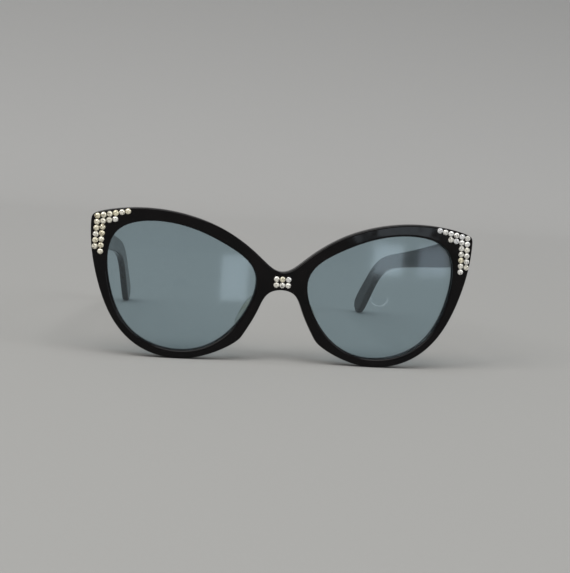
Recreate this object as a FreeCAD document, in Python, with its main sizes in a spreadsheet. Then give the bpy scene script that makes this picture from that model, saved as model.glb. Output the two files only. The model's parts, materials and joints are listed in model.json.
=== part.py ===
import FreeCAD, Part
import os
import Sketcher
from math import asin, pi

# Cat eye sunglasses: an acetate front with two spherical lenses in V grooves, drilled
# rhinestone seats, five-barrel hinges and temples stiffened by a core wire.
# Datum: X across (the wearer's left is +X), Y from the front face to the temple tips, Z up
# from the level line through the middle of the lenses. The last step stands it on its rims.

DIMENSIONS = [
    ("lens_width", 58.0, "lens box, across"),
    ("lens_height", 50.0, "lens box, up"),
    ("bridge", 18.0, "between the two lens boxes"),
    ("bridge_top", 7.7, "top of the bridge bar above the level line"),
    ("bridge_bar", 6.9, "height of the bridge bar"),
    ("brow", 3.9, "top of the brow above the lens box"),
    ("rim", 2.4, "bottom of the rim below the lens box"),
    ("corner_reach", 5.8, "upswept corner beyond the lens box"),
    ("front_thickness", 4.0, "acetate sheet of the front"),
    ("edge_round", 0.7, "tumbled edge of the front"),
    ("opening_round", 0.85, "rounded front edge of the lens openings"),
    ("opening_break", 0.3, "broken rear edge of the lens openings"),
    ("lip", 0.8, "acetate in front of and behind the lens edge"),
    ("lens_radius", 330.0, "base curve of the lens"),
    ("lens_thickness", 1.6, "lens, front to back"),
    ("lens_setback", 0.3, "apex of the lens behind the front face"),
    ("lens_bevel", 0.5, "each slope of the V edge"),
    ("groove_clearance", 0.06, "groove round the lens"),
    ("stone_size", 2.2, "rhinestone across its girdle"),
    ("stone_gap", 0.07, "between neighbouring stones"),
    ("stone_girdle", 0.3, "straight belt of a stone"),
    ("stone_crown", 0.7, "faceted crown of a stone"),
    ("stone_sunk", 0.45, "back of a stone below the front face"),
    ("seat_clearance", 0.03, "drilled seat round a stone"),
    ("stone_inset", 2.24, "corner stone in from the corner's reach"),
    ("stone_drop", 3.96, "corner stone below the top of the brow"),
    ("brow_slope", 11.7, "fall of the stone rows towards the corner, degrees"),
    ("side_slope", 2.4, "lean of the stone columns, degrees"),
    ("bridge_stone_drop", 3.8, "middle of the bridge stones below the top of the bridge"),
    ("pin_outset", 0.6, "hinge pin outside the lens box"),
    ("pin_standoff", 1.85, "hinge pin behind the front"),
    ("pin_drop", 4.6, "middle of the hinge below the top of the lens box"),
    ("hinge_height", 8.0, "five barrels together"),
    ("barrel_radius", 1.4, "hinge barrel"),
    ("barrel_gap", 0.08, "between neighbouring barrels"),
    ("screw_radius", 0.6, "shank of the hinge screw"),
    ("screw_clearance", 0.05, "bore round the shank"),
    ("screw_head", 1.05, "radius of the countersunk head"),
    ("plate_thickness", 1.1, "leaf plate of the hinge"),
    ("plate_inset", 1.15, "leaf plate of the front starts inboard of the pin"),
    ("plate_sink", 0.3, "leaf plate of the front below the back face"),
    ("plate_clearance", 0.04, "recess round a leaf plate"),
    ("leaf_length", 11.0, "leaf plate along the temple"),
    ("leaf_sink", 0.6, "leaf plate into the temple's inner face"),
    ("rivet_radius", 0.65, "rivet through the temple"),
    ("rivet_clearance", 0.02, "hole round a rivet"),
    ("rivet_head", 1.15, "radius of the rivet's outer head"),
    ("rivet_crown", 0.35, "height of the rivet's outer head"),
    ("rivet_spacing", 4.6, "between the two rivets"),
    ("temple_gap", 0.12, "butt of the temple to the front, and barrels to its inner face"),
    ("temple_thickness", 3.2, "temple at the hinge"),
    ("tip_thickness", 3.0, "temple at its tip"),
    ("temple_height", 11.6, "temple at the hinge"),
    ("temple_drop", 5.9, "middle of the temple's butt below the top of the lens box"),
    ("temple_waist", 6.4, "temple before the ear bend"),
    ("tip_height", 8.6, "paddle of the temple tip"),
    ("temple_bend", 95.0, "hinge pin to the ear bend, along the temple"),
    ("tip_length", 29.56, "end of the ear bend to the tip"),
    ("bend_radius", 28.0, "ear bend"),
    ("temple_slope", 10.0, "fall of the temple from the front, degrees"),
    ("tip_bend", 35.0, "turn of the ear bend, degrees"),
    ("temple_bow", 8.0, "temple bows in towards the head by this at the ear bend"),
    ("tip_inward", 5.0, "tip further in than the ear bend"),
    ("temple_round", 0.9, "tumbled edge of the temple"),
    ("wire_height", 1.8, "flat core wire, up"),
    ("wire_thickness", 0.9, "flat core wire, across"),
    ("wire_start", 17.0, "core wire begins behind the pin"),
    ("wire_end", 6.0, "core wire stops before the tip"),
    ("wire_clearance", 0.04, "channel round the core wire"),
    ("pad_back", 8.8, "nose pad reaches back to here"),
    ("pad_length", 13.5, "nose pad along the nose"),
    ("pad_width", 2.6, "nose pad where it is bonded"),
    ("pad_flare", 2.0, "nose pad spreads outwards by this"),
    ("nose_lean", 25.8, "nose sides from upright, degrees"),
    ("glue_line", 0.02, "cement under the nose pad"),
    ("floor_drop", 27.4, "level line above the surface it stands on"),
    ("middle_back", 68.0, "middle of the whole length behind the bridge"),
]

doc = FreeCAD.newDocument("sunglasses")
sizes = doc.addObject("Spreadsheet::Sheet", "sizes")
for row, (alias, number, note) in enumerate(DIMENSIONS, start=1):
    sizes.set(f"A{row}", note)
    sizes.set(f"B{row}", str(number))
    sizes.setAlias(f"B{row}", alias)
doc.recompute()

# Places that several pieces share, as expressions on the sheet.
HALF_WIDTH = "sizes.lens_width / 2"
HALF_HEIGHT = "sizes.lens_height / 2"
NASAL = "sizes.bridge / 2"
TEMPORAL = f"({NASAL} + sizes.lens_width)"
EYE_X = f"({NASAL} + {HALF_WIDTH})"
BRIDGE_BOTTOM = "(sizes.bridge_top - sizes.bridge_bar)"
PIN_X = f"({TEMPORAL} + sizes.pin_outset)"
PIN_Z = f"({HALF_HEIGHT} - sizes.pin_drop)"
PIN_Y = "(sizes.front_thickness + sizes.pin_standoff)"
INNER_X = f"({PIN_X} + sizes.barrel_radius + sizes.temple_gap)"
OUTER_X = f"({INNER_X} + sizes.temple_thickness)"
BARREL_STEP = "(sizes.hinge_height / 5)"
HINGE_BOTTOM = f"({PIN_Z} - sizes.hinge_height / 2)"
STONE_PITCH = "(sizes.stone_size + sizes.stone_gap)"


def value(expression):
    result = sizes.evalExpression(expression)
    return float(getattr(result, "Value", result))


# Sketch helpers: every point of a sketch is held by two distances bound to the sheet.

def add_body(name):
    return doc.addObject("PartDesign::Body", name)


def add_sketch(body, plane, name):
    sketch = body.newObject("Sketcher::SketchObject", name)
    support = next(item for item in body.Origin.OriginFeatures if item.Role == plane)
    sketch.AttachmentSupport = [(support, "")]
    sketch.MapMode = "FlatFace"
    return sketch


def hold(sketch, points):
    """Ties points to the origin: each is a geometry, its vertex and two expressions."""
    sizing = []
    for geometry, vertex, x, y in points:
        sizing.append(("DistanceX", geometry, vertex, x))
        sizing.append(("DistanceY", geometry, vertex, y))
    constraints = [
        Sketcher.Constraint(kind, -1, 1, geometry, vertex, value(expression))
        for kind, geometry, vertex, expression in sizing
    ]
    indices = sketch.addConstraint(constraints)
    for index, (kind, geometry, vertex, expression) in zip(indices, sizing):
        sketch.setExpression(f"Constraints[{index}]", expression)


def add_spline(sketch, poles, closed=True):
    """Cubic B-spline whose poles are all held."""
    points = [FreeCAD.Vector(value(x), value(y), 0) for x, y in poles]
    curve = sketch.addGeometry(Part.BSplineCurve(points, None, None, closed, 3, None, False))
    circles = []
    for point in points:
        circle = Part.Circle(point, FreeCAD.Vector(0, 0, 1), 1)
        circles.append(sketch.addGeometry(circle, True))
    links = [Sketcher.Constraint("Weight", circles[0], 1.0)]
    links += [Sketcher.Constraint("Equal", circles[0], circle) for circle in circles[1:]]
    for index, circle in enumerate(circles):
        kind = "InternalAlignment:Sketcher::BSplineControlPoint"
        links.append(Sketcher.Constraint(kind, circle, 3, curve, index))
    sketch.addConstraint(links)
    hold(sketch, [(circle, 3, x, y) for circle, (x, y) in zip(circles, poles)])
    return curve


def add_lines(sketch, corners, closed=True):
    """Straight runs from corner to corner."""
    points = [FreeCAD.Vector(value(x), value(y), 0) for x, y in corners]
    ends = points[1:] + points[:1] if closed else points[1:]
    lines = [sketch.addGeometry(Part.LineSegment(start, end)) for start, end in zip(points, ends)]
    for before, after in zip(lines, lines[1:]):
        sketch.addConstraint(Sketcher.Constraint("Coincident", before, 2, after, 1))
    if closed:
        sketch.addConstraint(Sketcher.Constraint("Coincident", lines[-1], 2, lines[0], 1))
    held = [(line, 1, x, y) for line, (x, y) in zip(lines, corners)]
    if not closed:
        held.append((lines[-1], 2, *corners[-1]))
    hold(sketch, held)
    return lines


def add_shell_section(sketch, outer, inner, reach):
    """Half section of a spherical shell: two arcs about one centre, joined at both ends."""
    centre = FreeCAD.Vector(0, value(outer), 0)
    arcs = []
    for radius in (outer, inner):
        turn = asin(value(reach) / value(radius))
        circle = Part.Circle(centre, FreeCAD.Vector(0, 0, 1), value(radius))
        arcs.append(sketch.addGeometry(Part.ArcOfCircle(circle, -pi / 2, turn - pi / 2)))
        hold(sketch, [(arcs[-1], 3, "0", "sizes.lens_radius")])
        index = sketch.addConstraint(Sketcher.Constraint("Radius", arcs[-1], value(radius)))
        sketch.setExpression(f"Constraints[{index}]", radius)
    for vertex, x in ((1, "0"), (2, reach)):
        ends = [FreeCAD.Vector(*sketch.getPoint(arc, vertex)) for arc in arcs]
        line = sketch.addGeometry(Part.LineSegment(*ends))
        links = [
            Sketcher.Constraint("Coincident", line, 1, arcs[0], vertex),
            Sketcher.Constraint("Coincident", line, 2, arcs[1], vertex),
            Sketcher.Constraint("Vertical", line),
        ]
        sketch.addConstraint(links)
        index = sketch.addConstraint(Sketcher.Constraint("DistanceX", -1, 1, line, 1, value(x)))
        sketch.setExpression(f"Constraints[{index}]", x)


def add_rectangle(sketch, left, bottom, right, top):
    return add_lines(sketch, [(left, bottom), (right, bottom), (right, top), (left, top)])


def bind(item, **expressions):
    for name, expression in expressions.items():
        item.setExpression(name, expression)


def place(item, x="0", y="0", z="0"):
    bind(item, **{"Placement.Base.x": x, "Placement.Base.y": y, "Placement.Base.z": z})


def stand(item):
    """Moves a finished piece from the datum to the surface that the glasses stand on."""
    place(item, "0", "-sizes.middle_back", "sizes.floor_drop")


def cut_through(body, sketch, name):
    """Removes what the sketch encloses, right through both ways."""
    pocket = body.newObject("PartDesign::Pocket", name)
    pocket.Profile = sketch
    pocket.SideType = "Symmetric"
    pocket.Type = "ThroughAll"
    return pocket


def round_edges(body, feature, name, radius, keep):
    """Fillets the edges of the feature that the keep test names."""
    edges = feature.Shape.Edges
    names = [f"Edge{index}" for index, edge in enumerate(edges, start=1) if keep(edge)]
    fillet = body.newObject("PartDesign::Fillet", name)
    fillet.Base = (feature, names)
    bind(fillet, Radius=radius)
    doc.recompute()
    return fillet


def add_box(name, x, y, z, length, width, height):
    box = doc.addObject("Part::Box", name)
    bind(box, Length=length, Width=width, Height=height)
    place(box, x, y, z)
    return box


def add_rod(name, x, y, z, radius, height):
    """Upright cylinder."""
    rod = doc.addObject("Part::Cylinder", name)
    bind(rod, Radius=radius, Height=height)
    place(rod, x, y, z)
    return rod


def add_fuse(name, shapes):
    fuse = doc.addObject("Part::MultiFuse", name)
    fuse.Shapes = shapes
    fuse.Refine = True
    return fuse


def add_compound(name, links):
    compound = doc.addObject("Part::Compound", name)
    compound.Links = links
    return compound


def add_cut(name, base, tool):
    cut = doc.addObject("Part::Cut", name)
    cut.Base = base
    cut.Tool = tool
    cut.Refine = False
    return cut


def add_mirror(name, source):
    """The same piece for the wearer's right side."""
    mirror = doc.addObject("Part::Mirroring", name)
    mirror.Source = source
    mirror.Normal = FreeCAD.Vector(1, 0, 0)
    return mirror


STONE_FACETS = 8

# Lens outline: eight poles round the lens box, in halves of its width and height.
LENS_POLES = [
    (1.01, 0.03),
    (1.03, 0.98),
    (0.10, 1.05),
    (-0.60, 0.70),
    (-1.17, 0.27),
    (-0.70, -0.81),
    (-0.03, -1.10),
    (0.71, -0.81),
]


def lens_outline(side, grow):
    """Poles of the lens outline on one side, larger all round by grow."""
    half_width = f"({HALF_WIDTH} + {grow})"
    half_height = f"({HALF_HEIGHT} + {grow})"
    return [
        (f"{side} * ({EYE_X} + {across} * {half_width})", f"{up} * {half_height}")
        for across, up in LENS_POLES
    ]


def front_outline():
    """Poles of the whole front, round from the top of the bridge."""
    half = [
        ("0.18 * sizes.bridge", "sizes.bridge_top - 0.016 * sizes.bridge"),
        ("0.54 * sizes.bridge", f"0.57 * {HALF_HEIGHT}"),
        (f"{NASAL} + 0.25 * sizes.lens_width", f"{HALF_HEIGHT} - 0.32 * sizes.brow"),
        (f"{NASAL} + 0.567 * sizes.lens_width", f"{HALF_HEIGHT} + sizes.brow"),
        (f"{NASAL} + 0.857 * sizes.lens_width", f"{HALF_HEIGHT} + 1.07 * sizes.brow"),
        (f"{TEMPORAL} + 0.75 * sizes.corner_reach", f"{HALF_HEIGHT} + 0.37 * sizes.brow"),
        (f"{TEMPORAL} + sizes.corner_reach", f"{HALF_HEIGHT} - 0.03 * sizes.brow"),
        (f"{TEMPORAL} + 1.02 * sizes.corner_reach", f"{HALF_HEIGHT} - 0.8 * sizes.brow"),
        (f"{TEMPORAL} + 0.93 * sizes.corner_reach", f"0.4 * {HALF_HEIGHT}"),
        (f"{TEMPORAL} - 0.022 * sizes.lens_width", f"-0.49 * {HALF_HEIGHT}"),
        (f"{NASAL} + 0.76 * sizes.lens_width", f"-{HALF_HEIGHT} - 0.18 * sizes.rim"),
        (f"{NASAL} + 0.46 * sizes.lens_width", f"-{HALF_HEIGHT} - 1.56 * sizes.rim"),
        (f"{NASAL} + 0.219 * sizes.lens_width", f"-{HALF_HEIGHT} + 0.52 * sizes.rim"),
        ("0.84 * sizes.bridge", f"-0.775 * {HALF_HEIGHT}"),
        ("0.77 * sizes.bridge", f"-0.7 * {HALF_HEIGHT}"),
        ("0.46 * sizes.bridge", f"-0.31 * {HALF_HEIGHT}"),
        ("0.33 * sizes.bridge", f"{BRIDGE_BOTTOM} + 0.02 * sizes.bridge"),
    ]
    return half + [(f"-({x})", z) for x, z in reversed(half)]


def make_front_blank():
    """Acetate sheet sawn to the outline and the two lens openings, with tumbled edges."""
    body = add_body("front_blank")
    outline = add_sketch(body, "XZ_Plane", "outline")
    add_spline(outline, front_outline())
    for side in (1, -1):
        add_spline(outline, lens_outline(side, "-sizes.lip"))
    sheet = body.newObject("PartDesign::Pad", "sheet")
    sheet.Profile = outline
    sheet.Reversed = True
    bind(sheet, Length="sizes.front_thickness")
    doc.recompute()

    frame_width = value(f"2 * {TEMPORAL}")
    half_thickness = value("sizes.front_thickness / 2")

    def rims(edge, front):
        long_enough = value(HALF_WIDTH) < edge.BoundBox.XLength < frame_width
        return long_enough and (edge.BoundBox.YMax < half_thickness) == front

    tumbled = round_edges(body, sheet, "tumbled_outline", "sizes.edge_round",
                          lambda edge: edge.BoundBox.XLength > frame_width)
    rounded = round_edges(body, tumbled, "rounded_openings", "sizes.opening_round",
                          lambda edge: rims(edge, True))
    round_edges(body, rounded, "broken_openings", "sizes.opening_break",
                lambda edge: rims(edge, False))
    return body


def make_lens(name, grow):
    """Left lens: a spherical blank edged to the outline, with a V bevel; grow makes its groove."""
    body = add_body(name)
    blank = add_sketch(body, "XY_Plane", "blank_section")
    bind(blank, **{
        "AttachmentOffset.Base.x": EYE_X,
        "AttachmentOffset.Base.y": "sizes.lens_setback",
    })
    front = f"(sizes.lens_radius + {grow})"
    back = f"(sizes.lens_radius - sizes.lens_thickness - {grow})"
    reach = f"(1.25 * {HALF_WIDTH})"
    add_shell_section(blank, front, back, reach)
    spun = body.newObject("PartDesign::Revolution", "blank")
    spun.Profile = blank
    spun.ReferenceAxis = (blank, ["V_Axis"])
    spun.Angle = 360

    edging = add_sketch(body, "XZ_Plane", "edging")
    border = f"({TEMPORAL} + {HALF_WIDTH})"
    add_rectangle(edging, f"-{HALF_WIDTH}", f"-{border}", border, border)
    add_spline(edging, lens_outline(1, grow))
    edged = cut_through(body, edging, "edged")
    doc.recompute()

    rim = [f"Edge{index}" for index, edge in enumerate(edged.Shape.Edges, start=1)
           if edge.BoundBox.ZLength > value(HALF_HEIGHT)]
    bevel = body.newObject("PartDesign::Chamfer", "bevel")
    bevel.Base = (edged, rim)
    bind(bevel, Size="sizes.lens_bevel")
    return body


def stone_places():
    """X and Z of each corner stone: an L of two rows and two columns."""
    rows = [(step, 0) for step in range(6)] + [(step, 1) for step in range(4)]
    columns = [(0, step) for step in range(2, 6)] + [(1, step) for step in range(2, 7)]
    corner_x = f"({TEMPORAL} + sizes.corner_reach - sizes.stone_inset)"
    corner_z = f"({HALF_HEIGHT} + sizes.brow - sizes.stone_drop)"
    places = []
    for along, down in rows + columns:
        left = f"({along} * cos(sizes.brow_slope) - {down} * sin(sizes.side_slope))"
        up = f"({along} * sin(sizes.brow_slope) - {down} * cos(sizes.side_slope))"
        places.append((f"{corner_x} - {STONE_PITCH} * {left}", f"{corner_z} + {STONE_PITCH} * {up}"))
    return places


def bridge_places():
    """X and Z of the bridge stones: two rows of three."""
    middle = "(sizes.bridge_top - sizes.bridge_stone_drop)"
    return [
        (f"{across} * {STONE_PITCH}", f"{middle} + {up} * {STONE_PITCH}")
        for up in (0.5, -0.5)
        for across in (-1, 0, 1)
    ]


def make_stone():
    """Flat-backed rhinestone, back at the origin and crown towards +Z."""
    radius = "sizes.stone_size / 2"
    belt = doc.addObject("Part::Prism", "belt")
    belt.Polygon = STONE_FACETS
    bind(belt, Circumradius=radius, Height="sizes.stone_girdle")
    rings = []
    for name, size, z in (
        ("girdle_ring", radius, "sizes.stone_girdle"),
        ("table_ring", f"0.56 * {radius}", "sizes.stone_girdle + sizes.stone_crown"),
    ):
        ring = doc.addObject("Part::RegularPolygon", name)
        ring.Polygon = STONE_FACETS
        bind(ring, Circumradius=size)
        place(ring, z=z)
        rings.append(ring)
    crown = doc.addObject("Part::Loft", "crown")
    crown.Sections = rings
    crown.Solid = True
    crown.Ruled = True
    return add_fuse("stone", [belt, crown])


def make_seat():
    """Drilled seat of one stone."""
    radius = "sizes.stone_size / 2 + sizes.seat_clearance"
    return add_rod("seat", "0", "0", "0", radius, "2 * sizes.front_thickness")


def set_in_front(name, master, places):
    """Copies of the master, each let into the front face."""
    copies = []
    for x, z in places:
        copy = doc.addObject("App::Link", f"{name}_{len(copies) + 1}")
        copy.LinkedObject = master
        copy.Placement.Rotation = FreeCAD.Rotation(FreeCAD.Vector(1, 0, 0), 90)
        place(copy, x, "sizes.stone_sunk", z)
        copies.append(copy)
    return add_compound(name, copies)


def knuckle_z(index):
    """Bottom of one of the five barrels."""
    return f"{HINGE_BOTTOM} + {index} * {BARREL_STEP} + sizes.barrel_gap / 2"


def add_knuckles(name, indices, arm):
    """Barrels round the pin, each with its arm: x, y, length and width of the arm."""
    height = f"{BARREL_STEP} - sizes.barrel_gap"
    shapes = []
    for index in indices:
        z = knuckle_z(index)
        shapes.append(add_rod(f"{name}_barrel", PIN_X, PIN_Y, z, "sizes.barrel_radius", height))
        shapes.append(add_box(f"{name}_arm", arm[0], arm[1], z, arm[2], arm[3], height))
    return shapes


def make_screw(name, grow):
    """Countersunk hinge screw, turned about the pin; grow makes its bore."""
    body = add_body(name)
    profile = add_sketch(body, "XZ_Plane", "turned_profile")
    bind(profile, **{"AttachmentOffset.Base.x": PIN_X, "AttachmentOffset.Base.z": f"-{PIN_Y}"})
    shank = f"(sizes.screw_radius + {grow})"
    head = f"(sizes.screw_head + {grow})"
    top = f"({HINGE_BOTTOM} + sizes.hinge_height - sizes.barrel_gap / 2)"
    cone = "(sizes.screw_head - sizes.screw_radius)"
    add_lines(profile, [
        ("0", f"{HINGE_BOTTOM} + sizes.barrel_gap / 2 - {grow}"),
        (shank, f"{HINGE_BOTTOM} + sizes.barrel_gap / 2 - {grow}"),
        (shank, f"{top} - {cone} - 0.2 * sizes.screw_head"),
        (head, f"{top} - 0.2 * sizes.screw_head"),
        (head, f"{top} + 2 * {grow}"),
        (f"0.7 * {head}", f"{top} + 0.2 * sizes.screw_head + 2 * {grow}"),
        ("0", f"{top} + 0.2 * sizes.screw_head + 2 * {grow}"),
    ])
    turned = body.newObject("PartDesign::Revolution", "turned")
    turned.Profile = profile
    turned.ReferenceAxis = (profile, ["V_Axis"])
    turned.Angle = 360
    if grow == "0":
        slot = add_sketch(body, "YZ_Plane", "slot_section")
        bind(slot, **{"AttachmentOffset.Base.x": PIN_Y})
        width = "0.15 * sizes.screw_head"
        floor = f"{top} - 0.15 * sizes.screw_head"
        add_rectangle(slot, f"-{width}", floor, width, f"{top} + sizes.screw_head")
        cut_through(body, slot, "slot")
    return body


def make_front_leaf(bore):
    """Plate sunk in the back of the front, with three barrels."""
    x = f"({PIN_X} - sizes.plate_inset)"
    rear = "(sizes.front_thickness - sizes.plate_sink)"
    length = "(sizes.plate_inset + sizes.barrel_radius)"
    plate = add_box("front_plate", x, f"{rear} - sizes.plate_thickness", HINGE_BOTTOM,
                    length, "sizes.plate_thickness", "sizes.hinge_height")
    arm = (x, f"{rear} - 0.2 * sizes.plate_thickness",
           length, f"{PIN_Y} - {rear} + 0.2 * sizes.plate_thickness")
    knuckles = add_knuckles("front", (0, 2, 4), arm)
    return add_cut("left_front_hinge", add_fuse("front_leaf", [plate] + knuckles), bore)


def make_front_recess():
    """Room for the plate in the back of the front."""
    gap = "sizes.plate_clearance"
    x = f"({PIN_X} - sizes.plate_inset - {gap})"
    depth = f"(sizes.plate_sink + sizes.plate_thickness)"
    return add_box("front_recess", x, f"sizes.front_thickness - {depth}", f"{HINGE_BOTTOM} - {gap}",
                   f"sizes.plate_inset + sizes.barrel_radius + 2 * {gap}", f"2 * {depth}",
                   f"sizes.hinge_height + 2 * {gap}")


LEAF_FRONT = f"({PIN_Y} + sizes.barrel_radius + sizes.temple_gap)"
LEAF_REAR = f"({LEAF_FRONT} + sizes.leaf_length)"


def make_leaf_plate(name, grow):
    """Plate of the temple leaf, tapering along the temple; grow makes its recess."""
    body = add_body(name)
    outline = add_sketch(body, "YZ_Plane", "plate_outline")
    outer = f"{INNER_X} + sizes.leaf_sink + {grow}"
    bind(outline, **{"AttachmentOffset.Base.z": outer})
    fall = "sizes.leaf_length * tan(sizes.temple_slope)"
    middle = f"({PIN_Z} - {fall} - 0.06 * sizes.hinge_height)"
    half = "sizes.hinge_height / 2"
    bottom = f"{PIN_Z} - {half} - {grow}"
    top = f"{PIN_Z} + {half} + {grow}"
    corners = [
        (LEAF_FRONT, bottom),
        (f"{LEAF_REAR} + {grow}", f"{middle} - 0.7 * {half} - {grow}"),
        (f"{LEAF_REAR} + {grow}", f"{middle} + 0.7 * {half} + {grow}"),
        (LEAF_FRONT, top),
    ]
    if grow != "0":
        corners += [("sizes.front_thickness", top), ("sizes.front_thickness", bottom)]
    add_lines(outline, corners)
    pad = body.newObject("PartDesign::Pad", "plate")
    pad.Profile = outline
    pad.Reversed = True
    bind(pad, Length=f"sizes.plate_thickness + 5 * {grow}")
    doc.recompute()
    rear = value(LEAF_REAR)
    round_edges(body, pad, "rounded_end", "0.25 * sizes.hinge_height",
                lambda edge: edge.BoundBox.XLength > 0.5 and edge.BoundBox.YMin > rear - 0.5)
    return body


def make_temple_leaf(bore):
    """Plate let into the temple's inner face, with two barrels."""
    plate = make_leaf_plate("temple_plate", "0")
    outer = f"({INNER_X} + sizes.leaf_sink)"
    arm = (f"{outer} - sizes.plate_thickness", f"{PIN_Y} - 0.2 * sizes.barrel_radius",
           "sizes.plate_thickness", f"1.5 * sizes.barrel_radius + sizes.temple_gap")
    web = (PIN_X, f"{PIN_Y} - 0.2 * sizes.barrel_radius",
           f"{outer} - {PIN_X}", "1.1 * sizes.barrel_radius")
    shapes = [plate] + add_knuckles("temple", (1, 3), arm)
    for index in (1, 3):
        shapes.append(add_box("temple_web", web[0], web[1], knuckle_z(index), web[2], web[3],
                              f"{BARREL_STEP} - sizes.barrel_gap"))
    return add_cut("bored_temple_leaf", add_fuse("temple_leaf", shapes), bore)


# Temple in side view: along the shaft and up from its middle, with the origin at the pin.
SHAFT = "sizes.temple_bend"
BEND_CORNER = f"({SHAFT} + sizes.bend_radius * tan(sizes.tip_bend / 2))"
TEMPLE_Z = f"({HALF_HEIGHT} - sizes.temple_drop)"
BOW_DEPTH = "(sizes.temple_bow + 2 * sizes.tip_inward)"


def on_tip(along, up):
    """Place on the straight tip, measured from the end of the ear bend."""
    start = f"({SHAFT} + sizes.bend_radius * sin(sizes.tip_bend))"
    drop = "(sizes.bend_radius * (1 - cos(sizes.tip_bend)))"
    x = f"{start} + ({along}) * cos(sizes.tip_bend) + ({up}) * sin(sizes.tip_bend)"
    z = f"-{drop} - ({along}) * sin(sizes.tip_bend) + ({up}) * cos(sizes.tip_bend)"
    return x, z


def temple_side(sign):
    """Upper or lower edge of the temple, from the butt to the end of the tip."""
    butt = f"{sign} * sizes.temple_height / 2"
    waist = f"{sign} * sizes.temple_waist / 2"
    paddle = f"{sign} * sizes.tip_height / 2"
    return [
        ("-2 * sizes.pin_standoff", butt),
        (f"0.15 * {SHAFT}", butt),
        (f"0.5 * {SHAFT}", f"0.4 * {butt} + 0.6 * ({waist})"),
        (f"0.82 * {SHAFT}", waist),
        (f"{BEND_CORNER} + {waist} * tan(sizes.tip_bend / 2)", waist),
        on_tip("0.4 * sizes.tip_length", f"0.3 * ({waist}) + 0.7 * ({paddle})"),
        on_tip("0.75 * sizes.tip_length", f"1.08 * ({paddle})"),
        on_tip("sizes.tip_length", f"0.95 * ({paddle})"),
        on_tip("sizes.tip_length", "0"),
    ]


def wire_side(sign, grow):
    """Upper or lower edge of the core wire."""
    half = f"{sign} * (sizes.wire_height / 2 + {grow})"
    return [
        (f"sizes.wire_start - {grow}", half),
        (f"0.5 * {SHAFT}", half),
        (f"0.82 * {SHAFT}", half),
        (f"{BEND_CORNER} + {half} * tan(sizes.tip_bend / 2)", half),
        on_tip("0.4 * sizes.tip_length", half),
        on_tip(f"sizes.tip_length - sizes.wire_end + {grow}", half),
    ]


def plan_side(half_front, half_tip):
    """Edge of the temple in plan, straight along the leaf plate and bowed in behind it.

    Half thicknesses are negative for the inner edge.
    """
    middle = f"({INNER_X} + sizes.temple_thickness / 2)"
    end = f"({PIN_Y} + {SHAFT} + sizes.bend_radius + sizes.tip_length)"
    return [
        (f"{middle} + {half_front}", "sizes.front_thickness + sizes.temple_gap"),
        (f"{middle} + {half_front}", f"{LEAF_FRONT} + 0.2 * sizes.leaf_length"),
        (f"{middle} + {half_front}", f"{LEAF_REAR} + 0.2 * sizes.leaf_length"),
        (f"{middle} + {half_front}", f"{LEAF_REAR} + sizes.leaf_length"),
        (f"{middle} + {half_tip} - 0.4 * sizes.temple_bow", f"0.4 * {end}"),
        (f"{middle} + {half_tip} - 1.05 * sizes.temple_bow", f"0.65 * {end}"),
        (f"{middle} + {half_tip} - sizes.temple_bow - 1.8 * sizes.tip_inward", end),
    ]


def add_strip(sketch, upper, lower):
    """Closed outline of two splines, joined at the ends that don't meet."""
    for side in (upper, lower):
        add_spline(sketch, side, closed=False)
    for first, second in ((upper[0], lower[0]), (upper[-1], lower[-1])):
        if first != second:
            add_lines(sketch, [first, second], closed=False)


def make_strip_body(name, side_edges, plan_edges):
    """Side view of the temple or its wire padded across, then cut to its plan."""
    body = add_body(name)
    side = add_sketch(body, "YZ_Plane", "side_view")
    bind(side, **{
        "AttachmentOffset.Base.x": PIN_Y,
        "AttachmentOffset.Base.y": TEMPLE_Z,
        "AttachmentOffset.Base.z": f"{INNER_X} - {BOW_DEPTH}",
        "AttachmentOffset.Rotation.Angle": "-sizes.temple_slope",
    })
    add_strip(side, *side_edges)
    pad = body.newObject("PartDesign::Pad", "padded_side")
    pad.Profile = side
    bind(pad, Length=f"2 * sizes.temple_thickness + {BOW_DEPTH}")
    plan = add_sketch(body, "XY_Plane", "plan_view")
    border = f"({OUTER_X} + 4 * sizes.temple_thickness)"
    length = f"(2 * ({SHAFT} + sizes.bend_radius + sizes.tip_length))"
    add_rectangle(plan, "0", f"-{SHAFT}", border, length)
    add_strip(plan, *plan_edges)
    cut_through(body, plan, "cut_plan")
    return body


def make_temple_blank():
    """Acetate temple with tumbled edges."""
    sides = (temple_side(1), temple_side(-1))
    plans = (
        plan_side("sizes.temple_thickness / 2", "sizes.tip_thickness / 2"),
        plan_side("-sizes.temple_thickness / 2", "-sizes.tip_thickness / 2"),
    )
    body = make_strip_body("temple_blank", sides, plans)
    doc.recompute()
    long_enough = value(SHAFT) / 2
    round_edges(body, body.Tip, "tumbled_temple", "sizes.temple_round",
                lambda edge: edge.Length > long_enough and edge.BoundBox.YLength > long_enough)
    return body


def make_wire(name, grow):
    """Flat core wire along the middle of the temple; grow makes its channel."""
    half = f"(sizes.wire_thickness / 2 + {grow})"
    sides = (wire_side(1, grow), wire_side(-1, grow))
    plans = (plan_side(half, half), plan_side(f"-{half}", f"-{half}"))
    return make_strip_body(name, sides, plans)


def rivet_place(index):
    """Y and Z of a rivet on the leaf plate."""
    y = f"{LEAF_FRONT} + sizes.leaf_length / 2 + {index - 0.5} * sizes.rivet_spacing"
    z = f"{PIN_Z} - tan(sizes.temple_slope) * ({y} - {LEAF_FRONT}) - 0.03 * sizes.hinge_height"
    return y, z


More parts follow.
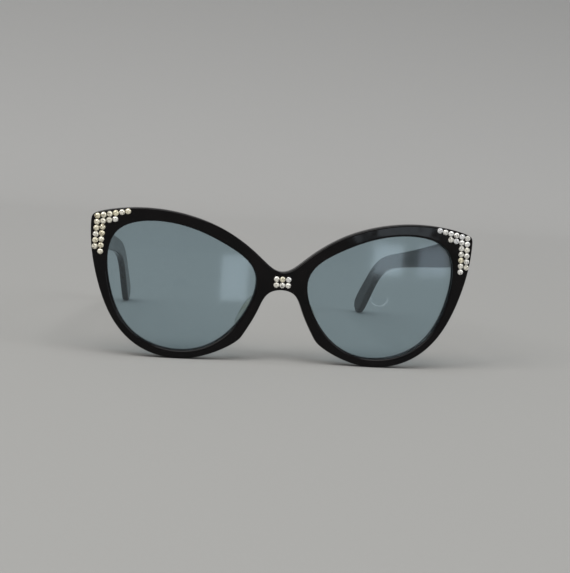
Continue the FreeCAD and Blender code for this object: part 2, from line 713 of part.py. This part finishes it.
def make_rivet():
    """Rivet from the leaf plate to a low head on the temple's outer face, turned about X."""
    body = add_body("rivet")
    profile = add_sketch(body, "XY_Plane", "turned_profile")
    plate = f"({INNER_X} + sizes.leaf_sink - sizes.plate_thickness)"
    inner = "(1.4 * sizes.rivet_radius)"
    upset = "(0.6 * sizes.rivet_crown)"
    crown = f"({OUTER_X} + sizes.rivet_crown)"
    add_lines(profile, [
        (f"{plate} - {upset}", "0"),
        (crown, "0"),
        (crown, "0.6 * sizes.rivet_head"),
        (f"{OUTER_X} + 0.3 * sizes.rivet_crown", "sizes.rivet_head"),
        (OUTER_X, "sizes.rivet_head"),
        (OUTER_X, "sizes.rivet_radius"),
        (plate, "sizes.rivet_radius"),
        (plate, inner),
        (f"{plate} - {upset}", f"0.8 * {inner}"),
    ])
    turned = body.newObject("PartDesign::Revolution", "turned")
    turned.Profile = profile
    turned.ReferenceAxis = (profile, ["H_Axis"])
    turned.Angle = 360
    return body


def make_rivet_hole():
    """Hole for a rivet through the leaf plate and the temple."""
    hole = add_rod("rivet_hole", PIN_X, "0", "0", "sizes.rivet_radius + sizes.rivet_clearance",
                   "4 * sizes.temple_thickness")
    hole.Placement.Rotation = FreeCAD.Rotation(FreeCAD.Vector(0, 1, 0), 90)
    return add_compound("rivet_drill", [hole])


def set_rivets(name, master):
    copies = []
    for index in (0, 1):
        copy = doc.addObject("App::Link", f"{name}_{index + 1}")
        copy.LinkedObject = master
        place(copy, "0", *rivet_place(index))
        copies.append(copy)
    return add_compound(name, copies)


# Sections of the nose pad: share of its depth, share of its flare, then its size along and across.
PAD_SECTIONS = [(0, 0, 1, 1), (0.55, 0.4, 1.04, 0.95), (0.9, 0.86, 0.9, 0.75), (1, 1, 0.78, 0.45)]
PAD_POLES = [(1.07, 0.5), (0.45, 1.2), (-0.45, 1.2), (-1.07, 0.5)]


def make_nose_pad():
    """Acetate pad cemented behind the nose side of the rim, spreading as it goes back."""
    body = add_body("left_nose_pad")
    sections = []
    half_length = "sizes.pad_length / 2"
    half_width = "sizes.pad_width / 2"
    start = "(sizes.front_thickness + sizes.glue_line)"
    for share, out, along, across in PAD_SECTIONS:
        section = add_sketch(body, "XZ_Plane", "pad_section")
        depth = f"({start} + {share} * (sizes.pad_back - {start}))"
        bind(section, **{"AttachmentOffset.Base.z": f"-{depth}"})
        offset = f"({half_width} + {out} * sizes.pad_flare)"
        centre_x = f"0.6 * sizes.bridge + {offset} * cos(sizes.nose_lean)"
        centre_z = f"-0.42 * {HALF_HEIGHT} + {offset} * sin(sizes.nose_lean)"
        poles = []
        ring = PAD_POLES + [(-u, -v) for u, v in PAD_POLES]
        for u, v in ring:
            run = f"({u * along:.3f} * {half_length})"
            side = f"({v * across:.3f} * {half_width})"
            x = f"{centre_x} - {run} * sin(sizes.nose_lean) + {side} * cos(sizes.nose_lean)"
            z = f"{centre_z} + {run} * cos(sizes.nose_lean) + {side} * sin(sizes.nose_lean)"
            poles.append((x, z))
        add_spline(section, poles)
        sections.append(section)
    loft = body.newObject("PartDesign::AdditiveLoft", "pad")
    loft.Profile = sections[0]
    loft.Sections = sections[1:]
    return body


front_blank = make_front_blank()
left_lens = make_lens("left_lens", "0")
groove = make_lens("groove", "sizes.groove_clearance")
stone = make_stone()
seat = make_seat()
corner_seats = set_in_front("corner_seats", seat, stone_places())
bridge_seats = set_in_front("bridge_seats", seat, bridge_places())
recess = make_front_recess()
side_tools = add_compound("side_tools", [groove, corner_seats, recess])
other_side_tools = add_mirror("other_side_tools", side_tools)
front_tools = add_compound("front_tools", [side_tools, other_side_tools, bridge_seats])
front_frame = add_cut("front_frame", front_blank, front_tools)

bore = make_screw("screw_bore", "sizes.screw_clearance")
wire_channel = make_wire("wire_channel", "sizes.wire_clearance")
rivet_holes = set_rivets("rivet_holes", make_rivet_hole())
leaf_recess = make_leaf_plate("leaf_recess", "sizes.plate_clearance")
left_temple_hinge = add_cut("left_temple_hinge", make_temple_leaf(bore), rivet_holes)
temple_tools = add_compound("temple_tools", [wire_channel, leaf_recess, rivet_holes])

left_pieces = [
    left_lens,
    set_in_front("left_corner_stones", stone, stone_places()),
    make_front_leaf(bore),
    left_temple_hinge,
    make_screw("left_hinge_screw", "0"),
    add_cut("left_temple", make_temple_blank(), temple_tools),
    set_rivets("left_temple_rivets", make_rivet()),
    make_wire("left_core_wire", "0"),
    make_nose_pad(),
]
middle_pieces = [front_frame, set_in_front("bridge_stones", stone, bridge_places())]
for piece in middle_pieces + left_pieces:
    stand(piece)
right_pieces = [add_mirror(piece.Label.replace("left", "right"), piece) for piece in left_pieces]
doc.recompute()

failed = [item.Label for item in doc.Objects if {"Invalid", "Error"} & set(item.State)]
if failed:
    raise RuntimeError(f"failed objects: {failed}")
os.makedirs("parts", exist_ok=True)
for piece in middle_pieces + left_pieces + right_pieces:
    if piece.Shape.isNull() or not piece.Shape.isValid():
        raise RuntimeError(f"bad shape: {piece.Label}")
    piece.Shape.exportStep(f"parts/{piece.Label}.step")
    print(piece.Label, len(piece.Shape.Solids), "solids", round(piece.Shape.Volume, 1), "mm3")
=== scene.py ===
import json
import random
from math import atan2, cos, pi, radians, sin
import bmesh
import bpy
from mathutils import Matrix, Vector


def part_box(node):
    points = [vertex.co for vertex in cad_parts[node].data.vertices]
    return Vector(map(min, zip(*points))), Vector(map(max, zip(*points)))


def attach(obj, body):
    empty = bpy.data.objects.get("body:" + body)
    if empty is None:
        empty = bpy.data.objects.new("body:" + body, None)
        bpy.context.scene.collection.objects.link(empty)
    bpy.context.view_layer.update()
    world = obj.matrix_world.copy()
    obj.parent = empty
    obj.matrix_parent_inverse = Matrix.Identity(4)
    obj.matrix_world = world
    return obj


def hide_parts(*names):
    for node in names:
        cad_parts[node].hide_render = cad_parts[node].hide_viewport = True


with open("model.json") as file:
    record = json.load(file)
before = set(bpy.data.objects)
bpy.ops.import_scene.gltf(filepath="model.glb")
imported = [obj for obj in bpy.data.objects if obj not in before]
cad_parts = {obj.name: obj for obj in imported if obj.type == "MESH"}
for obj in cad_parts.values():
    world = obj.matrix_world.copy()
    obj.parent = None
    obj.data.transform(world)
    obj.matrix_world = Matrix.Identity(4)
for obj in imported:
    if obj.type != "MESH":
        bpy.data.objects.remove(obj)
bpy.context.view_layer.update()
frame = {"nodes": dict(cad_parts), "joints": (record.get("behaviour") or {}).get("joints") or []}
nodes = frame["nodes"]
print("stage: frame loaded,", len(nodes), "pieces")


def clearSelection():
    if bpy.context.object and bpy.context.object.mode != "OBJECT":
        bpy.ops.object.mode_set(mode="OBJECT")
    bpy.ops.object.select_all(action="DESELECT")


class Flow:
    # one socket's value, so that shader maths reads like Python
    def __init__(self, shader, socket):
        self.shader = shader
        self.socket = socket

    def __add__(self, other):
        return self.shader.maths("ADD", self, other)

    def __sub__(self, other):
        return self.shader.maths("SUBTRACT", self, other)

    def __rsub__(self, other):
        return self.shader.maths("SUBTRACT", other, self)

    def __mul__(self, other):
        return self.shader.maths("MULTIPLY", self, other)

    def __pow__(self, other):
        return self.shader.maths("POWER", self, other)

    def __abs__(self):
        return self.shader.maths("ABSOLUTE", self)

    def over(self, limit):
        return self.shader.maths("GREATER_THAN", self, limit)

    def wave(self):
        return self.shader.maths("SINE", self)

    __radd__ = __add__
    __rmul__ = __mul__


class Shader:
    def __init__(self, name):
        self.material = bpy.data.materials.new(name)
        self.material.use_nodes = True
        self.tree = self.material.node_tree
        self.tree.nodes.clear()
        self.output = self.tree.nodes.new("ShaderNodeOutputMaterial")
        self.place = self.node("TexCoord", out="Object")

    def node(self, kind, settings=None, out=0, **sockets):
        # one node: its settings first, then the values or links of its sockets
        made = self.tree.nodes.new("ShaderNode" + kind)
        for key, setting in (settings or {}).items():
            setattr(made, key, setting)
        for key, given in sockets.items():
            name = key.replace("_", " ")
            socket = made.inputs[int(name[3:])] if name.startswith("in ") else made.inputs[name]
            if isinstance(given, Flow):
                self.tree.links.new(given.socket, socket)
            else:
                socket.default_value = given
        return Flow(self, made.outputs[out])

    def maths(self, operation, first, second=0.0):
        return self.node("Math", {"operation": operation}, in_0=first, in_1=second)

    def axis(self, letter):
        return self.node("SeparateXYZ", out=letter, Vector=self.place)

    def noise(self, scale, detail, roughness, place=None):
        return self.node("TexNoise", Vector=place or self.place,
                         Scale=scale, Detail=detail, Roughness=roughness)

    def patches(self, look, place=None):
        # look: patches per metre, detail, roughness, then the noise where they begin and are full
        scale, detail, roughness, low, high = look
        return self.ramp(self.noise(scale, detail, roughness, place), low, high)

    def specks(self, look):
        # look: specks per metre, roughness, and the noise past which a speck shows
        scale, roughness, limit = look
        return self.noise(scale, 1.0, roughness).over(limit)

    def scratches(self, look):
        # look: lines per metre, detail, stretch along each axis, turn in degrees
        scale, detail, stretch, turn = look
        return self.noise(scale, detail, 0.8, self.stretched(stretch, turn))

    def stretched(self, stretch, turn=0.0):
        return self.node("Mapping", Vector=self.place, Scale=stretch, Rotation=(0, radians(turn), 0))

    def ramp(self, factor, low, high):
        # 0 below low, 1 above high
        return self.node("MapRange", in_0=factor, in_1=low, in_2=high)

    def blend(self, factor, first, second):
        return self.node("Mix", {"data_type": "RGBA"}, out=2, in_0=factor, in_6=first, in_7=second)

    def bump(self, height, distance, under=None):
        if under is None:
            return self.node("Bump", Height=height, Distance=distance)
        return self.node("Bump", Height=height, Distance=distance, Normal=under)

    def finish(self, surface):
        self.tree.links.new(surface.socket, self.output.inputs["Surface"])
        return self.material


def screen(red, green, blue):
    # a colour as a screen shows it, 0 to 255, made linear
    def linear(value):
        share = value / 255
        return share / 12.92 if share <= 0.04045 else ((share + 0.055) / 1.055) ** 2.4
    return (linear(red), linear(green), linear(blue), 1.0)


acetate = {
    "deep": screen(4, 4, 5),
    "warm": screen(16, 12, 13),
    "clouds": (90.0, 4.0, 0.55, 0.35, 0.75),
    "index": 1.49,
    "sheen": 0.18,              # strength of its mirror reflections
    "gloss": 0.045,             # roughness where it keeps its polish
    "handled": 0.12,            # where fingers have dulled it
    "smears": (140.0, 5.0, 0.65, 0.45, 0.75),
    "sawn": 0.09,               # more on the sheet's edge, which polishes less well
    "sawnBand": (0.0004, 0.0009),   # metres behind the front face
    "dust": screen(112, 108, 102),
    "dustSpecks": (4200.0, 0.4, 0.79),
    "dustShare": 0.3,
    "dustRough": 0.2,
    "film": screen(58, 56, 53),     # skin grease, on the temple tips
    "filmPatches": (420.0, 4.0, 0.7, 0.35, 0.8),
    "filmShare": 0.3,
    "filmRough": 0.12,
    "filmLength": 0.05,
    "unevenness": 0.00028,      # metres, left by the tumbling barrel
    "unevenPatches": (55.0, 2.0, 0.4),
    "hairline": 0.0000012,
    "buffed": (5200.0, 2.0, (1.0, 0.35, 0.08), 20.0),
    "crossed": (4300.0, 2.0, (0.08, 0.35, 1.0), -35.0),
}


def makeAcetate(name, edgeBand, wornBand):
    # the stretches of Y over which the sheet's edge and the skin's dulling set in
    s = Shader(name)
    depth = s.axis("Y")
    edge = s.ramp(depth, *edgeBand)
    worn = s.ramp(depth, *wornBand)
    colour = s.blend(s.patches(acetate["clouds"]), acetate["deep"], acetate["warm"])
    smear = s.patches(acetate["smears"])
    specks = s.specks(acetate["dustSpecks"])
    colour = s.blend(specks * acetate["dustShare"], colour, acetate["dust"])
    film = s.patches(acetate["filmPatches"])
    colour = s.blend(worn * film * acetate["filmShare"], colour, acetate["film"])
    roughness = acetate["gloss"] + smear * (acetate["handled"] - acetate["gloss"])
    roughness = roughness + specks * acetate["dustRough"]
    roughness = roughness + edge * acetate["sawn"] + worn * acetate["filmRough"]
    lines = s.scratches(acetate["buffed"]) + s.scratches(acetate["crossed"])
    normal = s.bump(s.noise(*acetate["unevenPatches"]), acetate["unevenness"])
    normal = s.bump(lines, acetate["hairline"], normal)
    return s.finish(s.node("BsdfPrincipled", Base_Color=colour, Roughness=roughness, Normal=normal,
                           IOR=acetate["index"], Specular_IOR_Level=acetate["sheen"]))


clearAcetate = {
    "clean": screen(238, 240, 236),
    "yellowed": screen(226, 218, 190),
    "aged": (260.0, 3.0, 0.6, 0.4, 0.75),
    "gloss": 0.03,
    "agedRough": 0.07,
    "waves": (500.0, 2.0, 0.5),
    "waveDepth": 0.00001,
}


def makeClearAcetate():
    s = Shader("clearAcetate")
    aged = s.patches(clearAcetate["aged"])
    colour = s.blend(aged, clearAcetate["clean"], clearAcetate["yellowed"])
    roughness = clearAcetate["gloss"] + aged * clearAcetate["agedRough"]
    normal = s.bump(s.noise(*clearAcetate["waves"]), clearAcetate["waveDepth"])
    return s.finish(s.node("BsdfPrincipled", Base_Color=colour, Roughness=roughness, Normal=normal,
                           IOR=acetate["index"], Transmission_Weight=1.0))


lens = {
    "tint": screen(209, 222, 227),      # light passes two faces, so each takes half of the colour
    "smears": (95.0, 5.0, 0.7, 0.5, 0.8),
    "smearStretch": (1.0, 1.0, 0.45),
    "smearTurn": 25.0,
    "specks": (3600.0, 0.4, 0.8),
    "haze": screen(128, 148, 162),
    "hazeRough": 0.6,
    "milk": 0.03,                       # share of light that the haze sends back
    "smearMilk": 0.02,
    "speckMilk": 0.2,
    "mirror": screen(255, 255, 255),
    "gloss": 0.09,
    "smearRough": 0.04,
    "index": 1.5,
}


def makeLensResin():
    s = Shader("tintedResin")
    smear = s.patches(lens["smears"], s.stretched(lens["smearStretch"], lens["smearTurn"]))
    specks = s.specks(lens["specks"])
    clear = s.node("BsdfTransparent", Color=lens["tint"])
    haze = s.node("BsdfPrincipled", Base_Color=lens["haze"], Roughness=lens["hazeRough"],
                  Specular_IOR_Level=0.0)
    milk = lens["milk"] + smear * lens["smearMilk"] + specks * lens["speckMilk"]
    body = s.node("MixShader", in_0=milk, in_1=clear, in_2=haze)
    mirror = s.node("BsdfPrincipled", Base_Color=lens["mirror"], Metallic=1.0,
                    Roughness=lens["gloss"] + smear * lens["smearRough"])
    # the light isn't bent, so the inner faces must not reflect it all back
    inner = s.node("NewGeometry", out="Backfacing")
    share = s.node("Fresnel", IOR=lens["index"] - inner * (lens["index"] - 1 / lens["index"]))
    return s.finish(s.node("MixShader", in_0=share, in_1=body, in_2=mirror))


nickel = {
    "bright": screen(208, 203, 192),
    "tarnish": screen(142, 134, 120),
    "patina": (650.0, 4.0, 0.6, 0.42, 0.75),
    "pit": screen(70, 64, 54),
    "pits": (3800.0, 0.5, 0.77),
    "pitShare": 0.6,
    "roughness": 0.2,
    "lineRough": 0.18,
    "patinaRough": 0.12,
    "brushing": (2400.0, 3.0, 0.7),
    "brushStretch": (1.0, 1.0, 0.06),
    "lineDepth": 0.000004,
}


def makeNickel():
    s = Shader("nickelSilver")
    lines = s.noise(*nickel["brushing"], s.stretched(nickel["brushStretch"]))
    patina = s.patches(nickel["patina"])
    colour = s.blend(patina, nickel["bright"], nickel["tarnish"])
    colour = s.blend(s.specks(nickel["pits"]) * nickel["pitShare"], colour, nickel["pit"])
    roughness = nickel["roughness"] + lines * nickel["lineRough"] + patina * nickel["patinaRough"]
    return s.finish(s.node("BsdfPrincipled", Base_Color=colour, Metallic=1.0,
                           Roughness=roughness, Normal=s.bump(lines, nickel["lineDepth"])))


steel = {
    "bright": screen(196, 198, 202),
    "dark": screen(118, 120, 126),
    "stain": (900.0, 4.0, 0.6, 0.45, 0.8),
    "roughness": 0.2,
    "stainRough": 0.15,
    "ringRough": 0.03,
    "turning": 95000.0,          # tool marks, radians per metre of radius
    "ringDepth": 0.0000025,
}


def makeSteel():
    # fine rings round the hinge pins, as a lathe leaves them
    s = Shader("turnedSteel")
    pin = frame["joints"][0]["pos_m"]
    outward = abs(s.axis("X")) - abs(pin[0])
    backward = s.axis("Y") - pin[1]
    radius = (outward ** 2.0 + backward ** 2.0) ** 0.5
    rings = (radius * steel["turning"]).wave()
    stain = s.patches(steel["stain"])
    colour = s.blend(stain, steel["bright"], steel["dark"])
    roughness = steel["roughness"] + stain * steel["stainRough"] + rings * steel["ringRough"]
    return s.finish(s.node("BsdfPrincipled", Base_Color=colour, Metallic=1.0,
                           Roughness=roughness, Normal=s.bump(rings, steel["ringDepth"])))


crystal = {
    "sides": 12,
    "girdle": 0.5,           # shares of the stone's depth
    "crown": 0.78,
    "belt": 0.83,            # shares of its radius
    "table": 0.5,
    "dip": 0.07,
    "lean": 3.0,             # degrees, hand-set stones are never quite level
    "weld": 0.000001,
    "paintedFacetLights": (0.0, 0.5, 0.9, 1.0, 1.0, 1.0),    # painted reflection on each facet: painted shade, between, or painted glint
    "creamSide": -0.02,      # metres, stones beyond this X have yellowed most
    "creamFar": 0.8,
    "creamNear": 0.3,
    "creamSpread": 0.2,
    "firstFacet": 0.1,       # radians, where no facet's middle lies
    "seed": 11,
    # pale is the painted glint and dark the painted shade on the facets, white or in the cream of yellowed
    # stones
    "pale": screen(252, 252, 252),
    "paleCream": screen(250, 242, 212),
    "dark": screen(128, 130, 134),
    "paintedShadeCream": screen(136, 122, 92),
    "dirt": screen(96, 88, 70),
    "grime": (1500.0, 3.0, 0.6, 0.5, 0.8),
    "grimeShare": 0.2,
    "grimeRough": 0.12,
    "gloss": 0.06,
    "foil": 0.35,            # how far the foil makes the body a mirror
    "paintedGlow": 0.08,            # painted glow, an emission in place of light that the foil throws back
    "coatGloss": 0.02,
}


def makeCrystal():
    s = Shader("crystalWithPaintedGlints")
    # painted light of each facet: 0 gives the painted shade colour, 1 the painted glint colour
    paintedLight = s.node("Attribute", {"attribute_name": "paintedFacetLight"}, out="Fac")
    cream = s.node("Attribute", {"attribute_name": "stoneCream"}, out="Fac")
    bright = s.blend(cream, crystal["pale"], crystal["paleCream"])
    paintedShade = s.blend(cream, crystal["dark"], crystal["paintedShadeCream"])
    grime = s.patches(crystal["grime"])
    colour = s.blend(grime * crystal["grimeShare"], s.blend(paintedLight, paintedShade, bright), crystal["dirt"])
    # the stones glow a little with their facet colours: painted light standing in for the foil
    return s.finish(s.node("BsdfPrincipled", Base_Color=colour, Metallic=crystal["foil"],
                           Roughness=crystal["gloss"] + grime * crystal["grimeRough"],
                           Coat_Weight=1.0, Coat_Roughness=crystal["coatGloss"],
                           Emission_Color=colour, Emission_Strength=crystal["paintedGlow"]))


def raiseRing(height, share, turn):
    # lifts the selected face, draws it in and turns it, so that triangles form round it
    bpy.ops.mesh.extrude_region_move(TRANSFORM_OT_translate={"value": (0, 0, height)})
    bpy.ops.transform.resize(value=(share, share, 1), center_override=(0, 0, 0))
    bpy.ops.transform.rotate(value=turn, orient_axis="Z", center_override=(0, 0, 0))


def cutStone(radius, depth):
    # one flat-backed brilliant at the origin, crown towards +Z
    halfSide = pi / crystal["sides"]
    clearSelection()
    bpy.ops.mesh.primitive_circle_add(vertices=crystal["sides"], radius=radius, fill_type="NGON")
    stone = bpy.context.object
    bpy.ops.object.mode_set(mode="EDIT")
    bpy.ops.mesh.select_mode(type="FACE")
    bpy.ops.mesh.select_all(action="SELECT")
    raiseRing(crystal["girdle"] * depth, 1.0, 0.0)
    raiseRing((crystal["crown"] - crystal["girdle"]) * depth, crystal["belt"], halfSide)
    raiseRing((1 - crystal["crown"]) * depth, crystal["table"] / crystal["belt"], halfSide)
    bpy.ops.mesh.poke(offset=-crystal["dip"] * depth)
    bpy.ops.mesh.select_face_by_sides(number=4, type="EQUAL", extend=False)
    bpy.ops.mesh.quads_convert_to_tris(quad_method="SHORTEST_DIAGONAL")
    bpy.ops.mesh.select_all(action="SELECT")
    bpy.ops.mesh.normals_make_consistent(inside=False)
    bpy.ops.object.mode_set(mode="OBJECT")
    return stone


def stoneBoxes(name):
    # lowest and highest corner of each separate solid of a node
    mesh = bmesh.new()
    mesh.from_mesh(nodes[name].data)
    bmesh.ops.remove_doubles(mesh, verts=mesh.verts, dist=crystal["weld"])
    boxes = []
    waiting = set(mesh.verts)
    while waiting:
        reached = [waiting.pop()]
        for vertex in reached:
            for edge in vertex.link_edges:
                other = edge.other_vert(vertex)
                if other in waiting:
                    waiting.remove(other)
                    reached.append(other)
        low = Vector([min(vertex.co[axis] for vertex in reached) for axis in range(3)])
        high = Vector([max(vertex.co[axis] for vertex in reached) for axis in range(3)])
        boxes.append((low, high))
    mesh.free()
    return sorted(boxes, key=lambda box: (round(box[0].z, 4), box[0].x))


def facetOrder(mesh):
    # ring by ring and round each ring, because splitting the faces leaves them in no fixed order
    def place(index):
        centre = mesh.polygons[index].center
        return round(centre.z, 6), (atan2(centre.y, centre.x) + crystal["firstFacet"]) % (2 * pi)
    return sorted(range(len(mesh.polygons)), key=place)


def setStones(name, finish):
    draws = random.Random(crystal["seed"] + len(name))
    boxes = stoneBoxes(name)
    low, high = boxes[0]
    master = cutStone((high.x - low.x) / 2, high.y - low.y)
    order = facetOrder(master.data)
    lean = radians(crystal["lean"])
    stones = []
    for low, high in boxes:
        mesh = master.data.copy()
        mesh.transform(Matrix.Rotation(draws.uniform(0, pi), 4, "Z"))
        mesh.transform(Matrix.Rotation(draws.uniform(-lean, lean), 4, "Y"))
        mesh.transform(Matrix.Rotation(radians(90) + draws.uniform(-lean, lean), 4, "X"))
        mesh.transform(Matrix.Translation(((low.x + high.x) / 2, high.y, (low.z + high.z) / 2)))
        paintedFacetLights = mesh.attributes.new("paintedFacetLight", "FLOAT", "FACE")
        creams = mesh.attributes.new("stoneCream", "FLOAT", "FACE")
        usual = crystal["creamFar"] if low.x < crystal["creamSide"] else crystal["creamNear"]
        cream = min(1.0, max(0.0, draws.gauss(usual, crystal["creamSpread"])))
        # each facet gets a painted reflection drawn at random, and the stone keeps its own cream
        for index in order:
            paintedFacetLights.data[index].value = draws.choice(crystal["paintedFacetLights"])
            creams.data[index].value = cream
        stones.append(bpy.data.objects.new("stone", mesh))
    bpy.data.objects.remove(master)
    clearSelection()
    for stone in stones:
        bpy.context.collection.objects.link(stone)
        stone.select_set(True)
    bpy.context.view_layer.objects.active = stones[0]
    bpy.ops.object.join()
    cluster = bpy.context.object
    cluster.name = name + "_cut"
    cluster.data.materials.append(finish)
    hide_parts(name)
    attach(cluster, "front")


def dress(name, finish):
    data = nodes[name].data
    data.materials.clear()
    data.materials.append(finish)
    for face in data.polygons:
        face.material_index = 0


nowhere = (1.0, 2.0)      # metres of Y, past every piece
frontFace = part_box("front_frame")[0].y
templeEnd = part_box("left_temple")[1].y
sawnBand = [frontFace + behind for behind in acetate["sawnBand"]]
frontAcetate = makeAcetate("frontAcetate", sawnBand, nowhere)
templeAcetate = makeAcetate("templeAcetate", nowhere, (templeEnd - acetate["filmLength"], templeEnd))
padAcetate = makeClearAcetate()
resin = makeLensResin()
nickelSilver = makeNickel()
turnedSteel = makeSteel()
finishes = {
    "front_frame": frontAcetate,
    "_temple": templeAcetate,
    "_nose_pad": padAcetate,
    "_lens": resin,
    "_hinge": nickelSilver,
    "_rivets": nickelSilver,
    "_screw": turnedSteel,
    "_wire": turnedSteel,
}
for name in nodes:
    for ending, finish in finishes.items():
        if name.endswith(ending):
            dress(name, finish)
print("stage: finishes on")

sparkle = makeCrystal()
for name in ("left_corner_stones", "right_corner_stones", "bridge_stones"):
    setStones(name, sparkle)
print("stage: crystals set")


studio = {
    "floor": screen(165, 164, 161),
    "wall": screen(175, 174, 172),
    "fibre": screen(151, 150, 147),
    "fibres": (900.0, 3.0, 0.6, 0.35, 0.7),
    "fibreShare": 0.06,
    "roughness": 0.9,
    "sheen": 0.1,
    "front": 1.5,            # metres of paper before the glasses
    "back": 0.9,             # and behind them, up to the wall
    "width": 5.0,
    "height": 1.6,
    "sweep": 0.35,           # radius between floor and wall
    "sweepSegments": 24,
    "seenShare": 0.74,       # brightness of the backdrop past the paper
}


def pickEdges(mesh, wanted):
    # leaves edit mode on, with the edges selected whose two ends are wanted
    bpy.ops.object.mode_set(mode="EDIT")
    bpy.ops.mesh.select_mode(type="EDGE")
    bpy.ops.mesh.select_all(action="DESELECT")
    bpy.ops.object.mode_set(mode="OBJECT")
    for edge in mesh.edges:
        edge.select = all(wanted(mesh.vertices[index].co) for index in edge.vertices)
    bpy.ops.object.mode_set(mode="EDIT")


def makeStudio():
    clearSelection()
    middle = (studio["back"] - studio["front"]) / 2
    bpy.ops.mesh.primitive_plane_add(size=1.0, location=(0, middle, 0))
    paper = bpy.context.object
    paper.name = "paperSweep"
    bpy.ops.transform.resize(value=(studio["width"], studio["back"] + studio["front"], 1))
    bpy.ops.object.transform_apply(location=True, rotation=True, scale=True)
    pickEdges(paper.data, lambda end: end.y > 0)
    bpy.ops.mesh.extrude_region_move(TRANSFORM_OT_translate={"value": (0, 0, studio["height"])})
    pickEdges(paper.data, lambda end: end.y > 0 and end.z < studio["height"] / 2)
    bpy.ops.mesh.bevel(offset=studio["sweep"], segments=studio["sweepSegments"], affect="EDGES")
    bpy.ops.object.mode_set(mode="OBJECT")
    bpy.ops.object.shade_smooth()
    s = Shader("floorPaper")
    colour = s.blend(s.ramp(s.axis("Y"), 0.0, studio["back"]), studio["floor"], studio["wall"])
    colour = s.blend(s.patches(studio["fibres"]) * studio["fibreShare"], colour, studio["fibre"])
    paper.data.materials.append(s.finish(s.node("BsdfPrincipled", Base_Color=colour,
                                                Roughness=studio["roughness"],
                                                Specular_IOR_Level=studio["sheen"])))


windowLight = (0.78, 0.9, 1.0)
lamps = {
    # place, aim, width and height, watts, colour
    "keyLamp": ((-0.7, -0.5, 0.9), (0, 0, 0.03), (0.5, 0.7), 4.0, (1.0, 0.98, 0.95)),
    "fillLamp": ((0.9, -0.6, 0.6), (0, 0, 0.03), (0.6, 0.6), 2.2, (0.93, 0.97, 1.0)),
    "leftGlint": ((0.163, -0.57, 0.03), (0.163, 0, 0.03), (0.062, 0.06), 0.031, windowLight),
    "cornerGlint": ((0.262, -0.57, 0.023), (0.262, 0, 0.023), (0.066, 0.074), 0.027, (0.76, 0.86, 1.0)),
    "rightGlint": ((0.0084, -0.188, 0.018), (0.0084, 0, 0.018), (0.021, 0.035), 0.0045, windowLight),
}

glintsOn = {
    # small lamps that only shine on these pieces, as a window would
    "leftGlint": ("left_lens", "front_frame"),
    "cornerGlint": ("left_lens",),
    "rightGlint": ("right_lens",),
}

skylight = {
    "strength": 1.62,
    "spread": 50.0,          # degrees across, so that shadows stay soft
    "tilt": 14.0,            # degrees from straight down
    "room": 0.36,            # plain light from all round
    "roomColour": (0.93, 0.96, 1.0, 1.0),
}


def addLight(name, kind, strength, place, turn):
    light = bpy.data.lights.new(name, kind)
    light.energy = strength
    stand = bpy.data.objects.new(name, light)
    stand.location = place
    stand.rotation_euler = turn
    bpy.context.collection.objects.link(stand)
    return stand


def makeLamps():
    above = addLight("skylight", "SUN", skylight["strength"], (0, 0, 0), (radians(skylight["tilt"]), 0, 0))
    above.data.angle = radians(skylight["spread"])
    for name, (place, aim, size, watts, colour) in lamps.items():
        turn = (Vector(aim) - Vector(place)).to_track_quat("-Z", "Y").to_euler()
        stand = addLight(name, "AREA", watts, place, turn)
        stand.data.shape = "RECTANGLE"
        stand.data.size, stand.data.size_y = size
        stand.data.color = colour
        stand.visible_camera = False
        if name in glintsOn:
            lit = bpy.data.collections.new(name + "Lit")
            for piece in glintsOn[name]:
                lit.objects.link(nodes[piece])
            stand.light_linking.receiver_collection = lit


def makeRoom():
    world = bpy.data.worlds.new("studioWorld")
    bpy.context.scene.world = world
    world.use_nodes = True
    tree = world.node_tree
    sky = tree.nodes["Background"]
    sky.inputs["Color"].default_value = skylight["roomColour"]
    sky.inputs["Strength"].default_value = skylight["room"]
    seen = tree.nodes.new("ShaderNodeBackground")     # what the camera sees past the paper
    seen.inputs["Color"].default_value = studio["wall"]
    seen.inputs["Strength"].default_value = studio["seenShare"]
    choice = tree.nodes.new("ShaderNodeMixShader")
    rays = tree.nodes.new("ShaderNodeLightPath").outputs
    shown = rays["Is Camera Ray"]
    for kind in ("Is Glossy Ray", "Is Transmission Ray"):      # metal and resin show it too
        either = tree.nodes.new("ShaderNodeMath")
        either.operation = "MAXIMUM"
        tree.links.new(shown, either.inputs[0])
        tree.links.new(rays[kind], either.inputs[1])
        shown = either.outputs[0]
    tree.links.new(shown, choice.inputs[0])
    tree.links.new(sky.outputs[0], choice.inputs[1])
    tree.links.new(seen.outputs[0], choice.inputs[2])
    tree.links.new(choice.outputs[0], tree.nodes["World Output"].inputs["Surface"])
    bpy.context.scene.view_settings.view_transform = "Standard"


shot = {
    "target": (0.00109, -0.06781, 0.02979),
    "distance": 0.45,
    "azimuth": -8.0,
    "elevation": 8.0,
    "roll": 4.28,
    "focal": 74.79,          # millimetres, as is the sensor
    "sensor": 36.0,
    "nearest": 0.01,
}


def makeCamera():
    camera = bpy.data.cameras.new("camera")
    camera.lens = shot["focal"]
    camera.sensor_width = shot["sensor"]
    camera.sensor_fit = "HORIZONTAL"
    camera.clip_start = shot["nearest"]
    tripod = bpy.data.objects.new("camera", camera)
    azimuth, elevation = radians(shot["azimuth"]), radians(shot["elevation"])
    away = Vector((sin(azimuth) * cos(elevation), -cos(azimuth) * cos(elevation), sin(elevation)))
    tripod.location = Vector(shot["target"]) + away * shot["distance"]
    aim = (-away).to_track_quat("-Z", "Y").to_matrix()
    tripod.rotation_euler = (aim @ Matrix.Rotation(radians(shot["roll"]), 3, "Z")).to_euler()
    bpy.context.collection.objects.link(tripod)
    bpy.context.scene.camera = tripod


makeStudio()
makeLamps()
makeRoom()
makeCamera()
print("stage: studio ready")
